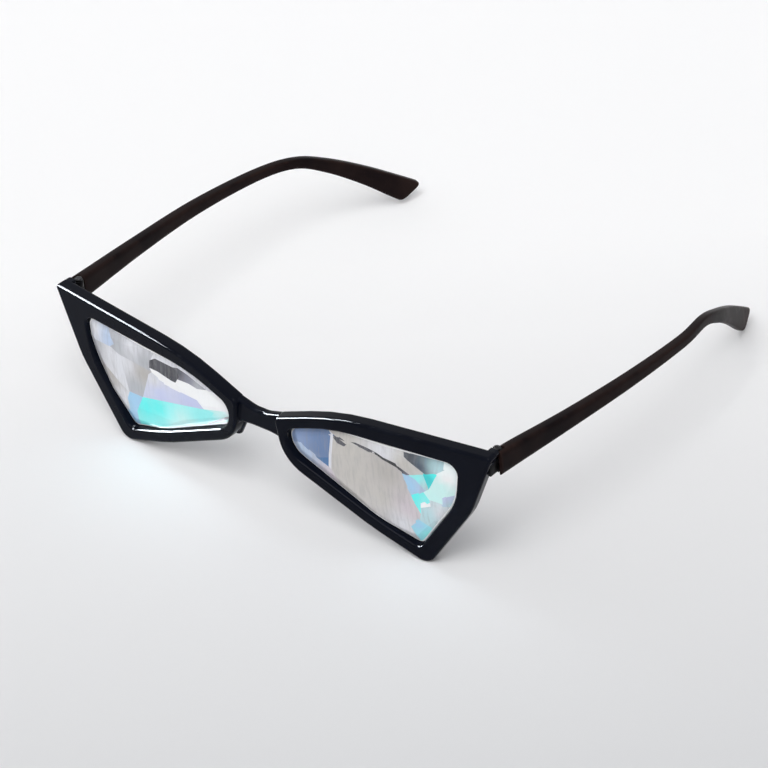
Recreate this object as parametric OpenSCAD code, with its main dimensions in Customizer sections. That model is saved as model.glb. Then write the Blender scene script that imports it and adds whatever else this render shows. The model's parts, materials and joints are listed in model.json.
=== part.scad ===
// Cat eye eyeglasses with cut crystal lenses and folding temples.
// X runs across the front, Y from the front to the ear tips, Z is up.

/* [Lens openings] */
// Width of one lens opening
lens_w = 53.4; // [44:0.2:60]
// Height of one lens opening
lens_h = 30.6; // [26:0.2:38]
// Gap between the two lens openings at the nose
nose_gap = 18.6; // [16:0.2:24]

/* [Front] */
// Thickness of the rims from face to back
front_depth = 4; // [3.9:0.1:6]
// Width of the rim above the lens
rim_top = 4.2; // [3:0.1:6]
// Width of the rim above the lens near the nose
rim_brow = 3.5; // [2.6:0.1:5]
// Width of the rim on the outer side of the lens
rim_side = 4.6; // [3:0.1:6]
// Width of the rim below the lens
rim_bottom = 3.5; // [2.4:0.1:5]
// Width of the rim beside the nose
rim_nose = 2.7; // [2.2:0.1:4]
// How far the pointed endpiece reaches past the lens opening
endpiece_w = 10.6; // [9.6:0.1:14]
// How far the point stands above the lens opening
point_rise = 5.6; // [4:0.1:9]
// Backward angle of each half of the front
face_form = 5.9; // [2:0.1:9]

/* [Bridge] */
// Depth of the bridge face behind the rim faces
bridge_recess = 1.6; // [0.6:0.1:2.4]
// Height of the bridge at its middle
bridge_h = 5.7; // [3:0.1:7]
// Drop of the bridge's lowest top point below the lens opening's top
bridge_drop = 4.3; // [3.6:0.1:7.4]
// Reach of the moulded nose pads behind the rims
pad_reach = 2; // [1.8:0.1:4]

/* [Lens] */
// Depth of the lens edge behind the rim face
lens_recess = 2.9; // [2.4:0.1:3]
// Height of the cut crown above the lens edge
crown_h = 1.5; // [0.8:0.1:2.2]
// Thickness of the tongue that sits in the rim's groove
tongue_t = 0.7; // [0.5:0.1:0.9]
// Reach of the tongue into the rim
tongue_reach = 0.9; // [0.5:0.1:1.3]
// Slope of the border facets
border_slope = 19; // [12:1:30]
// Slope of the inner facets
inner_slope = 7; // [4:1:10]

/* [Temples] */
// Thickness of a temple at the hinge
temple_t = 3.4; // [3.2:0.1:4.4]
// Height of a temple at the hinge
temple_h = 7.2; // [6.8:0.1:9]
// Length of the straight run from the hinge to the bend
run_length = 88; // [78:1:105]
// Length of the curved ear piece behind the bend
ear_length = 33; // [26:1:40]
// Drop of the temple from the hinge to the bend
run_drop = 9.3; // [8:0.1:13]
// Outward bow of the straight run
run_bow = 2.5; // [0:0.1:5]
// Inward curl of the ear tip
ear_curl = 13.9; // [8:0.1:16]
// Height of the ear tip
tip_h = 6.6; // [5:0.1:8]

/* [Hinges] */
// Radius of the hinge barrels
barrel_r = 1.3; // [1.2:0.05:1.5]
// Height of one hinge barrel
barrel_h = 1.9; // [1.4:0.1:2]
// Radius of the hinge screw
screw_r = 0.6; // [0.45:0.05:0.7]
// Thickness of the hinge leaves
leaf_t = 0.9; // [0.6:0.05:1.1]
// Depth of the leaves in the plastic
leaf_grip = 3.2; // [2.2:0.1:3.6]
// Depth of the hinge axis inside the temple's inner face
axis_inset = 0.9; // [0.5:0.1:1.1]

/* [Hidden] */
$fn = 48;

// Clearances
screw_play = 0.04;
barrel_gap = 0.12;
seat_gap = 0.12;
swing_gap = 0.25;
lens_play = 0.05;

// How far a cutting shape runs past what it cuts
cut_over = 1;

// Corner table of the lens opening: share of width, share of height, radius
opening_shape = [
  [1, 0, 3.2], [0.97, 0.41, 20], [0.74, 1, 2.4], [0.5, 0.845, 60],
  [0.02, 0.43, 7], [0, 0.19, 4], [0.27, 0.03, 60]
];
opening_low = -lens_h;
function opening_corner(s) = [nose_gap / 2 + s[0] * lens_w, s[1] * opening_low, s[2]];
opening = [for (s = opening_shape) opening_corner(s)];

// Width of rim outside each side of the opening, side i running to corner i + 1
rim_widths = [rim_side, rim_side, rim_bottom, rim_bottom, rim_nose, rim_brow, rim_top];
outer_radii = [1, 22, 4, 50, 14, 2, 69];
endpiece_tip = [nose_gap / 2 + lens_w + endpiece_w, point_rise];

// Corner where two sides, moved outward by their own widths, meet again
function side_normal(a, b) = let (d = b - a) [-d[1], d[0]] / norm(d);
function flat(p) = [p[0], p[1]];
function moved_corner(pts, widths, i) =
  let (
    n = len(pts),
    before = side_normal(flat(pts[(i + n - 1) % n]), flat(pts[i])),
    after = side_normal(flat(pts[i]), flat(pts[(i + 1) % n])),
    w_before = widths[(i + n - 1) % n],
    w_after = widths[i],
    det = before[0] * after[1] - before[1] * after[0]
  )
  flat(pts[i]) + [
    (w_before * after[1] - w_after * before[1]) / det,
    (before[0] * w_after - after[0] * w_before) / det
  ];

// The same corners moved out evenly, with their radii grown alike
function grown(pts, by) = [
  for (i = [0:len(pts) - 1])
    let (c = moved_corner(pts, [for (p = pts) by], i)) [c[0], c[1], pts[i][2] + by]
];

rim = [
  for (i = [0:len(opening) - 1])
    let (c = i == 0 ? endpiece_tip : moved_corner(opening, rim_widths, i))
    [c[0], c[1], outer_radii[i]]
];

// Polygon with each corner replaced by an arc of its own radius
arc_step = 7;
function corner_arc(a, b, c, r) =
  let (
    u = (a - b) / norm(a - b),
    v = (c - b) / norm(c - b),
    turn = 180 - acos(max(-1, min(1, u * v))),
    cut = min(r * tan(turn / 2), 0.49 * norm(a - b), 0.49 * norm(c - b)),
    steps = max(1, ceil(turn / arc_step)),
    start = b + u * cut,
    finish = b + v * cut,
    radius = cut / tan(turn / 2),
    centre = b + (u + v) / norm(u + v) * norm([cut, radius]),
    from = start - centre,
    to = finish - centre
  )
  [
    for (k = [0:steps])
      centre + (from * sin(turn * (1 - k / steps)) + to * sin(turn * k / steps)) / sin(turn)
  ];
function rounded(pts) = [
  for (i = [0:len(pts) - 1])
    each corner_arc(
      flat(pts[(i + len(pts) - 1) % len(pts)]),
      flat(pts[i]),
      flat(pts[(i + 1) % len(pts)]),
      pts[i][2]
    )
];
opening_line = rounded(opening);
rim_line = rounded(rim);

// Where the parts stand
rim_nose_x = min([for (p = rim_line) p[0]]);
rim_low = min([for (p = rim_line) p[1]]);
tip_x = endpiece_tip[0];
function back_y(x) = (x - rim_nose_x) * tan(face_form) + front_depth / cos(face_form);
point_overhang = 0.6;
temple_out_x = rim_nose_x + (tip_x - rim_nose_x) * cos(face_form) - point_overhang;
temple_in_x = temple_out_x - temple_t;
axis_x = temple_in_x + axis_inset;
boss_wall = 0.9;
boss_in_x = axis_x + barrel_r - leaf_t - boss_wall;
boss_behind_rim = 0.6;
seat_y = back_y(tip_x) + boss_behind_rim;
temple_front_y = seat_y + seat_gap;
axis_y = seat_y + barrel_r + swing_gap;
stack_h = 3 * barrel_h + 2 * barrel_gap;
temple_below_point = 0.8;
hinge_z = point_rise - temple_below_point - temple_h / 2;
stack_drop = 0.7;
stack_low = hinge_z + temple_h / 2 - stack_drop - stack_h;
pocket_x = axis_x + barrel_r + swing_gap;
shoulder_y = axis_y + barrel_r + swing_gap;

// Path of a temple: centre x, y, z, thickness, height
bend_y = axis_y + run_length;
path_x = temple_out_x - temple_t / 2;
end_y = bend_y + ear_length;
bar_overrun = 2;
// The ear tips come down to the level of the rims, so that both stand on a table
tip_below_centre = 0.441;
ear_drop = hinge_z - run_drop - rim_low - tip_h * tip_below_centre;
knots = [
  [path_x, temple_front_y - bar_overrun, hinge_z, temple_t, temple_h],
  [path_x + run_bow * 0.15, axis_y + run_length * 0.06, hinge_z - run_drop * 0.07, temple_t, temple_h - 0.4],
  [path_x + run_bow * 0.7, axis_y + run_length * 0.3, hinge_z - run_drop * 0.25, temple_t - 0.1, temple_h - 2.2],
  [path_x + run_bow, axis_y + run_length * 0.58, hinge_z - run_drop * 0.47, temple_t - 0.3, temple_h - 3.4],
  [path_x + run_bow * 0.5, axis_y + run_length * 0.85, hinge_z - run_drop * 0.76, temple_t - 0.6, temple_h - 4.2],
  [path_x - ear_curl * 0.12, bend_y, hinge_z - run_drop, temple_t - 0.9, temple_h - 4.2],
  [path_x - ear_curl * 0.34, bend_y + ear_length * 0.3, hinge_z - run_drop - ear_drop * 0.225, temple_t - 0.9, temple_h - 3.4],
  [path_x - ear_curl * 0.63, bend_y + ear_length * 0.6, hinge_z - run_drop - ear_drop * 0.53, temple_t - 0.8, tip_h - 1.6],
  [path_x - ear_curl * 0.87, bend_y + ear_length * 0.85, hinge_z - run_drop - ear_drop * 0.825, temple_t - 0.7, tip_h - 0.4],
  [path_x - ear_curl, end_y, hinge_z - run_drop - ear_drop, temple_t - 0.6, tip_h]
];

// Smooth curve through the knots
rings_per_knot = 4;
function curve_at(a, b, c, d, t) =
  0.5 * (2 * b + (c - a) * t + (2 * a - 5 * b + 4 * c - d) * t * t
    + (3 * b - a - 3 * c + d) * t * t * t);
last = len(knots) - 1;
path = [
  for (i = [0:last - 1], k = [0:rings_per_knot - 1])
    curve_at(
      knots[max(0, i - 1)], knots[i], knots[i + 1], knots[min(last, i + 2)],
      k / rings_per_knot
    ),
  knots[last]
];
function place_of(p) = [p[0], p[1], p[2]];
function heading(i) =
  let (d = place_of(path[min(len(path) - 1, i + 1)]) - place_of(path[max(0, i - 1)]))
  d / norm(d);

// Section of a temple: a flat oval with full corners
section_sides = 20;
section_power = 0.45;
function full(v) = sign(v) * pow(abs(v), section_power);
function ring_at(p, dir, size, along) =
  let (
    side = cross(dir, [0, 0, 1]) / norm(cross(dir, [0, 0, 1])),
    up = cross(side, dir)
  )
  [
    for (k = [0:section_sides - 1])
      let (a = 360 * k / section_sides)
      place_of(p) + dir * along + side * full(cos(a)) * p[3] / 2 * size
        + up * full(sin(a)) * p[4] / 2 * size
  ];
tip_round = 1.3;
tip_steps = [20, 40, 60, 78];
rings = [
  for (i = [0:len(path) - 1]) ring_at(path[i], heading(i), 1, 0),
  for (a = tip_steps)
    ring_at(path[len(path) - 1], heading(len(path) - 1), 1 - 0.34 * (1 - cos(a)), tip_round * sin(a))
];
tip_points = [for (r = rings) each r];
tip_low = min([for (p = tip_points) p[2]]);
tip_back = max([for (p = tip_points) p[1]]);

// The object stands on its rims and ear tips, centred over the origin
stand_z = min(rim_low, tip_low);
middle_y = tip_back / 2;
module placed() {
  translate([0, -middle_y, -stand_z]) children();
}
module side(s) {
  mirror([s < 0 ? 1 : 0, 0, 0]) children();
}
module rim_plane() {
  translate([rim_nose_x, 0, 0])
    rotate([0, 0, face_form])
      translate([-rim_nose_x, 0, 0]) children();
}

// A prism along Y from one depth to another over an outline in X and Z
module slab(line, from, to) {
  translate([0, to, 0])
    rotate([90, 0, 0])
      linear_extrude(height = to - from) polygon(line);
}

// Lens
groove_from = lens_recess;
groove_to = lens_recess + tongue_t;
tongue_line = rounded(grown(opening, tongue_reach));
groove_line = rounded(grown(opening, tongue_reach + lens_play));
lens_body_line = rounded(grown(opening, -lens_play));
lens_behind_rim = 0.2;
lens_back = front_depth - lens_behind_rim;
lens_middle = [nose_gap / 2 + lens_w * 0.56, opening_low * 0.42];
function reach_towards(a) =
  max([for (p = opening_line) (p - lens_middle) * [cos(a), sin(a)]]);
facet_block = 90;
border_facets = 14;
border_turn = 6;
inner_facets = 9;
inner_turn = 25;
inner_inset = 2.6;
module facet(a, inset, rise, slope) {
  translate([lens_middle[0], groove_from - rise, lens_middle[1]])
    rotate([0, -a, 0])
      translate([reach_towards(a) - inset, 0, 0])
        rotate([0, 0, slope])
          translate([-facet_block, -facet_block, -facet_block])
            cube([2 * facet_block, facet_block, 2 * facet_block]);
}
module lens() {
  color([0.72, 0.86, 0.93, 0.5])
    difference() {
      union() {
        slab(lens_body_line, groove_from - crown_h, lens_back);
        slab(tongue_line, groove_from + lens_play, groove_to - lens_play);
      }
      for (k = [0:border_facets - 1])
        facet(k * 360 / border_facets + border_turn, 0, 0, border_slope);
      for (k = [0:inner_facets - 1])
        facet(k * 360 / inner_facets + inner_turn, inner_inset, inner_inset * tan(border_slope), inner_slope);
    }
}

// Front
bridge_top = -bridge_drop;
bridge_low = bridge_top - bridge_h;
bridge_in_rim = 1.4;
bridge_reach = rim_nose_x + bridge_in_rim;
bridge_dip = 0.7;
bridge_flat = 3.1;
bridge_hollow = 2.2;
// Where the bridge's top runs out along the brow, just under the rim's outline
brow_share = 0.2;
brow_cover = 0.12;
brow_step = 2.1;
brow_end = flat(rim[5]) + (flat(rim[6]) - flat(rim[5])) * brow_share - [0, brow_cover];
bridge_half = [
  [bridge_hollow, bridge_top, 8], [brow_end[0], brow_end[1], 0.1],
  [bridge_reach, brow_end[1] - brow_step, 0.1], [bridge_reach, bridge_low - bridge_dip, 0.1],
  [bridge_flat, bridge_low, 5]
];
bridge_shape = concat(
  bridge_half, [for (i = [len(bridge_half) - 1:-1:0]) let (c = bridge_half[i]) [-c[0], c[1], c[2]]]
);
boss_low = stack_low - boss_wall;

// Nose pads: distance from the rim's nose edge, share of the lens height, share of the reach
pad_r = 1.6;
pad_points = [[2.2, 0.28, 0], [2.7, 0.38, 1], [4.6, 0.52, 1]];
module nose_pad() {
  hull()
    for (p = pad_points)
      translate([rim_nose_x + p[0], front_depth + (pad_reach - pad_r) * p[2], opening_low * p[1]])
        sphere(r = pad_r, $fn = 28);
}
module half_front() {
  rim_plane()
    difference() {
      union() {
        slab(rim_line, 0, front_depth);
        nose_pad();
      }
      slab(opening_line, -cut_over, front_depth + pad_reach + cut_over);
      slab(groove_line, groove_from, groove_to);
    }
  intersection() {
    rim_plane() slab(rim_line, front_depth - cut_over, front_depth + seat_y);
    translate([boss_in_x, 0, boss_low])
      cube([tip_x, seat_y, point_rise - boss_low]);
  }
}
module front_frame() {
  color([0.05, 0.055, 0.07])
    difference() {
      union() {
        side(1) half_front();
        side(-1) half_front();
        slab(rounded(bridge_shape), bridge_recess, front_depth);
      }
      side(1) front_leaf_grip();
      side(-1) front_leaf_grip();
    }
}

// Hinge: two barrels on the front's leaf, one between them on the temple's
leaf_short = 0.5;
leaf_low = stack_low + leaf_short;
leaf_h = stack_h - 2 * leaf_short;
leaf_x = axis_x + barrel_r - leaf_t;
module front_leaf_grip() {
  translate([leaf_x, seat_y - leaf_grip, leaf_low])
    cube([leaf_t, leaf_grip, leaf_h]);
}
module temple_leaf_grip() {
  translate([leaf_x, shoulder_y, leaf_low])
    cube([leaf_t, leaf_grip, leaf_h]);
}
function barrel_low(level) = stack_low + level * (barrel_h + barrel_gap);
module barrel(level, bore_r, leaf_from, leaf_to) {
  difference() {
    union() {
      translate([axis_x, axis_y, barrel_low(level)])
        cylinder(r = barrel_r, h = barrel_h);
      translate([leaf_x, leaf_from, barrel_low(level)])
        cube([leaf_t, leaf_to - leaf_from, barrel_h]);
    }
    translate([axis_x, axis_y, barrel_low(level) - cut_over])
      cylinder(r = bore_r, h = barrel_h + 2 * cut_over);
  }
}
module hinge_front() {
  color([0.2, 0.19, 0.2]) {
    front_leaf_grip();
    for (level = [0, 2])
      barrel(level, screw_r, seat_y, axis_y);
  }
}
module hinge_temple() {
  color([0.2, 0.19, 0.2]) {
    temple_leaf_grip();
    barrel(1, screw_r + screw_play, axis_y, shoulder_y);
  }
}
head_r = 1.05;
head_h = 0.5;
slot_w = 0.3;
slot_depth = 0.25;
module hinge_screw() {
  color([0.45, 0.45, 0.47])
    difference() {
      union() {
        translate([axis_x, axis_y, stack_low])
          cylinder(r = screw_r, h = stack_h);
        translate([axis_x, axis_y, stack_low + stack_h])
          cylinder(r = head_r, h = head_h);
      }
      translate([axis_x - head_r, axis_y - slot_w / 2, stack_low + stack_h + head_h - slot_depth])
        cube([2 * head_r, slot_w, slot_depth + cut_over]);
    }
}

// Temple: swept bar with a pocket for the barrels and a slot for the leaf
module swept_bar() {
  count = len(rings);
  polyhedron(
    points = tip_points,
    faces = [
      [for (k = [section_sides - 1:-1:0]) k],
      for (i = [0:count - 2], k = [0:section_sides - 1])
        let (a = i * section_sides, b = a + section_sides, m = (k + 1) % section_sides)
        each [[a + k, b + m, b + k], [a + k, a + m, b + m]],
      [for (k = [0:section_sides - 1]) (count - 1) * section_sides + k]
    ]
  );
}
module temple() {
  color([0.1, 0.085, 0.09])
    difference() {
      swept_bar();
      translate([0, temple_front_y - bar_overrun - cut_over, hinge_z - temple_h])
        cube([tip_x + temple_t, bar_overrun + cut_over, 2 * temple_h]);
      translate([0, temple_front_y - bar_overrun - cut_over, hinge_z - temple_h])
        cube([pocket_x, shoulder_y - temple_front_y + bar_overrun + cut_over, 2 * temple_h]);
      temple_leaf_grip();
    }
}

placed() front_frame();
placed() side(-1) rim_plane() lens();  // lens_left
placed() side(1) rim_plane() lens();  // lens_right
placed() side(-1) temple();  // temple_left
placed() side(1) temple();  // temple_right
placed() side(-1) hinge_front();  // hinge_front_left
placed() side(1) hinge_front();  // hinge_front_right
placed() side(-1) hinge_temple();  // hinge_temple_left
placed() side(1) hinge_temple();  // hinge_temple_right
placed() side(-1) hinge_screw();  // hinge_screw_left
placed() side(1) hinge_screw();  // hinge_screw_right
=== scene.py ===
"""Cat eye eyeglasses: a polished moulded front, cut crystal lenses, satin temples and their hinges."""

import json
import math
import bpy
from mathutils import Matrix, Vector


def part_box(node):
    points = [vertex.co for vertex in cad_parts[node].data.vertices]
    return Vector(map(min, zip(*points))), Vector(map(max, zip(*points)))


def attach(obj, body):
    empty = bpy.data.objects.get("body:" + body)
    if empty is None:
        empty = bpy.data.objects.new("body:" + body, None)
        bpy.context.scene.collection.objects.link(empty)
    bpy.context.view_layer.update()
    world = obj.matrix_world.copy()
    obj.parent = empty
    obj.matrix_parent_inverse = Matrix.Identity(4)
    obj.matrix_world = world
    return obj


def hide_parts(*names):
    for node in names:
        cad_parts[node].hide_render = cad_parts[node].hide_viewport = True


bl_info = {
    "name": "Cat Eye Eyeglasses",
    "version": (1, 0, 0),
    "blender": (4, 5, 0),
    "location": "3D View > Sidebar > Eyeglasses",
    "description": "Models and finishes a pair of cat eye eyeglasses on its CAD frame",
    "category": "Object",
}

import bmesh
import bpy
from mathutils import Matrix, Vector, geometry

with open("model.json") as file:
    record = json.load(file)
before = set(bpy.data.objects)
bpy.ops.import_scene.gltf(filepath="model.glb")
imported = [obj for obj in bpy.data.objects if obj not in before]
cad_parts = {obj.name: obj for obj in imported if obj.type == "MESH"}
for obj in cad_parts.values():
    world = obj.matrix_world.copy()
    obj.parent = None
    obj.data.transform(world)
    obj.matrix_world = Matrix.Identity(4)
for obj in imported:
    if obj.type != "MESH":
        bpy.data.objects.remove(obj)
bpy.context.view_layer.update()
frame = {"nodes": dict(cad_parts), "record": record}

# Where the glasses' own axes stand. Pieces are modelled in millimetres: X from the middle of the
# nose, Y from the rim faces back, Z from the top of the lens openings. Each rim leans back by the
# face form about its nose edge.
MM = 0.001
NOSE_EDGE = 6.40722
FACE_FORM = math.radians(5.9)
FRONT_DEPTH = 4.0
OPENING_TOP = 0.0343895
ORIGIN = Vector((0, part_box("front_frame")[0].y, OPENING_TOP))
PLACE = Matrix.Translation(ORIGIN) @ Matrix.Scale(MM, 4)
RIM_TURN = (
    Matrix.Translation((NOSE_EDGE, 0, 0))
    @ Matrix.Rotation(FACE_FORM, 4, "Z")
    @ Matrix.Translation((-NOSE_EDGE, 0, 0))
)
TO_LEFT = Matrix.Scale(-1, 4, (1, 0, 0))
CAMERA = Vector((1.138006, -1.316061, 1.219819))


def colour(red, green, blue):
    """Turns a colour on the 0 to 255 scale into the linear colour that shaders use."""
    def linear(v):
        v /= 255
        return v / 12.92 if v <= 0.04045 else ((v + 0.055) / 1.055) ** 2.4
    return (linear(red), linear(green), linear(blue))


# ---------------------------------------------------------------- sizes and colours


def length(name, description, default):
    """A length property, its default in millimetres."""
    return bpy.props.FloatProperty(
        name=name, description=description, default=default * MM, min=0, unit="LENGTH", precision=5)


def paint(name, description, default):
    """A colour property, its default on the 0 to 255 scale."""
    return bpy.props.FloatVectorProperty(
        name=name, description=description, default=colour(*default), subtype="COLOR", min=0, max=1)


def fraction(name, description, default):
    """A property that runs from 0 to 1."""
    return bpy.props.FloatProperty(
        name=name, description=description, default=default, min=0, max=1, subtype="FACTOR")


class CATEYE_PG_front(bpy.types.PropertyGroup):
    """Sizes and colours of the moulded front."""

    face_round: length("Face rounding", "Rounding of the rims' outer edge at the face", 0.85)
    back_round: length("Back rounding", "Rounding of the rims' outer edge at the back", 0.9)
    opening_round: length("Opening rounding", "Rounding of the lens openings at the face", 0.6)
    bridge_round: length("Bridge rounding", "Rounding of the bridge at its face", 0.9)
    plastic: paint("Plastic", "Colour of the polished front", (8, 11, 21))
    scuffed: paint("Scuffed plastic", "Colour of the front where handling has dulled it", (20, 24, 34))
    polish: fraction("Polish", "Roughness of the front where it is clean", 0.05)


class CATEYE_PG_temples(bpy.types.PropertyGroup):
    """Sizes and colours of the temples."""

    cut_round: length("Cut rounding", "Rounding of the edges cut at the hinge end", 0.14)
    sides: bpy.props.IntProperty(
        name="Sides", description="Number of sides of a temple's section", default=40, min=12)
    plastic: paint("Plastic", "Colour of the satin temples", (17, 11, 13))
    # This colour is also painted over the ear tips, as a painted sheen
    rubbed_and_tip_sheen: paint("Rubbed plastic", "Colour of the temples where they are rubbed", (60, 43, 38))
    satin: fraction("Satin", "Roughness of the temples", 0.36)


class CATEYE_PG_lenses(bpy.types.PropertyGroup):
    """Cut and finish of the crystal lenses."""

    border_slope: bpy.props.FloatProperty(
        name="Border slope", description="Slope of the facets round the edge",
        default=math.radians(19), subtype="ANGLE")
    inner_slope: bpy.props.FloatProperty(
        name="Inner slope", description="Slope of the facets inside them",
        default=math.radians(7), subtype="ANGLE")
    arris: length("Arris", "Width of the narrow bevel along the lens edge", 0.3)
    lift: length("Lift", "How much nearer the face the lens edge lies at the outer brow", 1.7)
    # The edge line is a painted highlight: a strip along the lens edge painted white
    line: length("Edge line", "Width of the white line ground along the lens edge", 0.36)
    clarity: fraction("Clarity", "Share of the light that passes through the crystal", 0.12)


class CATEYE_PG_hinges(bpy.types.PropertyGroup):
    """Finish of the hinges and their screws."""

    edge_round: length("Edge rounding", "Rounding of the hinge and screw edges", 0.07)
    metal: paint("Hinge metal", "Colour of the blackened hinges", (15, 15, 17))
    screw: paint("Screw metal", "Colour of the steel screws", (52, 51, 52))


class CATEYE_PG_stage(bpy.types.PropertyGroup):
    """Floor, lamps and camera."""

    floor: paint("Floor", "Colour of the floor", (251, 251, 252))
    # The floor is painted darker in front of the glasses, as painted shade
    floor_near: paint("Near floor", "Colour of the floor in front of the glasses", (207, 208, 210))
    ambient: bpy.props.FloatProperty(
        name="Ambient light", description="Strength of the even light from all around",
        default=0.5, min=0)
    lens: bpy.props.FloatProperty(
        name="Focal length", description="Focal length of the camera in millimetres",
        default=375, min=10)


# ---------------------------------------------------------------- shaping

# A Boolean that leaves fewer faces than this has failed
FEWEST_FACES = 20
# Turn of a surface, in degrees, from which an edge wears, and how much more wears it fully
WEAR_FROM, WEAR_SPAN = 6, 14
# Rings that a rounding is drawn with, the distance beyond it of a ring that keeps the flat beside it
# flat, the least distance between two rings and from the flat ends, and the border of those ends
ROUND_STEPS, GUARD, RING_GAP, END_GAP, END_BORDER = 6, 0.04, 0.012, 0.004, 0.05
# Least of one plus the cosine between two walls, which limits how far a sharp point is drawn in
POINT_LIMIT = 0.2


def mesh_piece(name, bm, crease=30):
    """Makes an object of a bmesh, smooth but for the edges that turn by more than the crease."""
    mesh = bpy.data.meshes.new(name)
    bm.to_mesh(mesh)
    bm.free()
    mesh.polygons.foreach_set("use_smooth", [True] * len(mesh.polygons))
    mesh.set_sharp_from_angle(angle=math.radians(crease))
    piece = bpy.data.objects.new(name, mesh)
    bpy.context.scene.collection.objects.link(piece)
    return piece


def combine(base, tools, operation):
    """Joins or cuts a bmesh with others, which are used up."""
    base = mesh_piece("base", base)
    tools = [mesh_piece("tool", tool) for tool in tools]
    for tool in tools:
        step = base.modifiers.new("Combine", "BOOLEAN")
        step.operation = operation
        step.solver = "MANIFOLD"
        step.object = tool
    bpy.context.view_layer.update()
    shape = base.evaluated_get(bpy.context.evaluated_depsgraph_get())
    bm = bmesh.new()
    bm.from_mesh(shape.to_mesh())
    shape.to_mesh_clear()
    for piece in (base, *tools):
        mesh = piece.data
        bpy.data.objects.remove(piece)
        bpy.data.meshes.remove(mesh)
    if len(bm.faces) < FEWEST_FACES:
        raise RuntimeError(f"{operation} left only {len(bm.faces)} faces")
    return bm


def turned(bm, matrix, left=False):
    """Moves a bmesh, and mirrors it to the left side where it is asked to."""
    bmesh.ops.transform(bm, matrix=matrix, verts=bm.verts[:])
    if left:
        bmesh.ops.transform(bm, matrix=TO_LEFT, verts=bm.verts[:])
        bmesh.ops.reverse_faces(bm, faces=bm.faces[:])
    bm.normal_update()
    return bm


def mark_wear(bm):
    """Writes on each vertex how sharply the surface turns there, which is where it wears."""
    wear = bm.verts.layers.float.new("wear")
    bm.normal_update()
    for vert in bm.verts:
        turn = max((e.calc_face_angle_signed(0) for e in vert.link_edges), default=0)
        vert[wear] = min(1, max(0, (math.degrees(turn) - WEAR_FROM) / WEAR_SPAN))


def dress(bm, name, body, nodes, material, crease=30):
    """Makes the finished piece and ties it to the frame."""
    mark_wear(bm)
    piece = mesh_piece(name, bm, crease)
    piece.data.materials.append(material)
    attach(piece, body)
    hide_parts(*nodes)
    return piece


def cad_mesh(name, place):
    """The mesh of a CAD node, seen in the axes of a place."""
    bm = bmesh.new()
    bm.from_mesh(frame["nodes"][name].data)
    bmesh.ops.transform(bm, matrix=place.inverted(), verts=bm.verts[:])
    bmesh.ops.remove_doubles(bm, verts=bm.verts[:], dist=0.001)
    return bm


def flat_region(name, place, level, facing):
    """The flat faces at one depth of the right half of a CAD node."""
    bm = cad_mesh(name, place)
    bm.normal_update()
    others = []
    for face in bm.faces:
        centre = face.calc_center_median()
        if face.normal.y * facing < 0.9999 or abs(centre.y - level) > 0.002 or centre.x < 0:
            others.append(face)
    bmesh.ops.delete(bm, geom=others, context="FACES")
    if not bm.faces:
        raise RuntimeError(f"{name} has no flat face at {level}")
    return bm


def only(elements, kind):
    """The elements of one kind, of those that an operator gives."""
    return [e for e in elements if isinstance(e, kind)]


def thicken(bm, vec):
    """Makes a closed slab of a flat region."""
    step = bmesh.ops.extrude_face_region(bm, geom=bm.faces[:], use_keep_orig=True)
    bmesh.ops.translate(bm, vec=vec, verts=only(step["geom"], bmesh.types.BMVert))
    bmesh.ops.recalc_face_normals(bm, faces=bm.faces[:])


def inset(bm, faces, width, depth=0):
    """Insets a region of faces, and gives the strip of faces round it."""
    return bmesh.ops.inset_region(
        bm, faces=faces, thickness=width, depth=depth, use_boundary=True, use_even_offset=True)["faces"]


def bevel(bm, edges, width, segments):
    """Rounds edges off."""
    bmesh.ops.bevel(
        bm, geom=edges, offset=width, offset_type="OFFSET", segments=segments, profile=0.5,
        affect="EDGES", material=-1, clamp_overlap=True)


def merge_flat(bm, degrees):
    """Dissolves the edges across which the surface turns by no more than an angle."""
    bmesh.ops.dissolve_limit(
        bm, angle_limit=math.radians(degrees), verts=bm.verts[:], edges=bm.edges[:], delimit=set())
    bm.normal_update()


def sharp_edges(bm, degrees):
    """The edges across which the surface turns by more than an angle."""
    return [e for e in bm.edges if len(e.link_faces) == 2 and e.calc_face_angle(0) > math.radians(degrees)]


def quarter_depths(radius):
    """Depths at which a quarter round is drawn."""
    return [radius * (1 - math.cos(math.radians(90 * k / ROUND_STEPS))) for k in range(1, ROUND_STEPS + 1)]


def quarter_inset(depth, radius):
    """How far a quarter round stands in at a depth below its face."""
    if radius <= 0 or depth >= radius:
        return 0
    return radius * (1 - math.sqrt(max(0, 1 - (1 - depth / radius) ** 2)))


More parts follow.
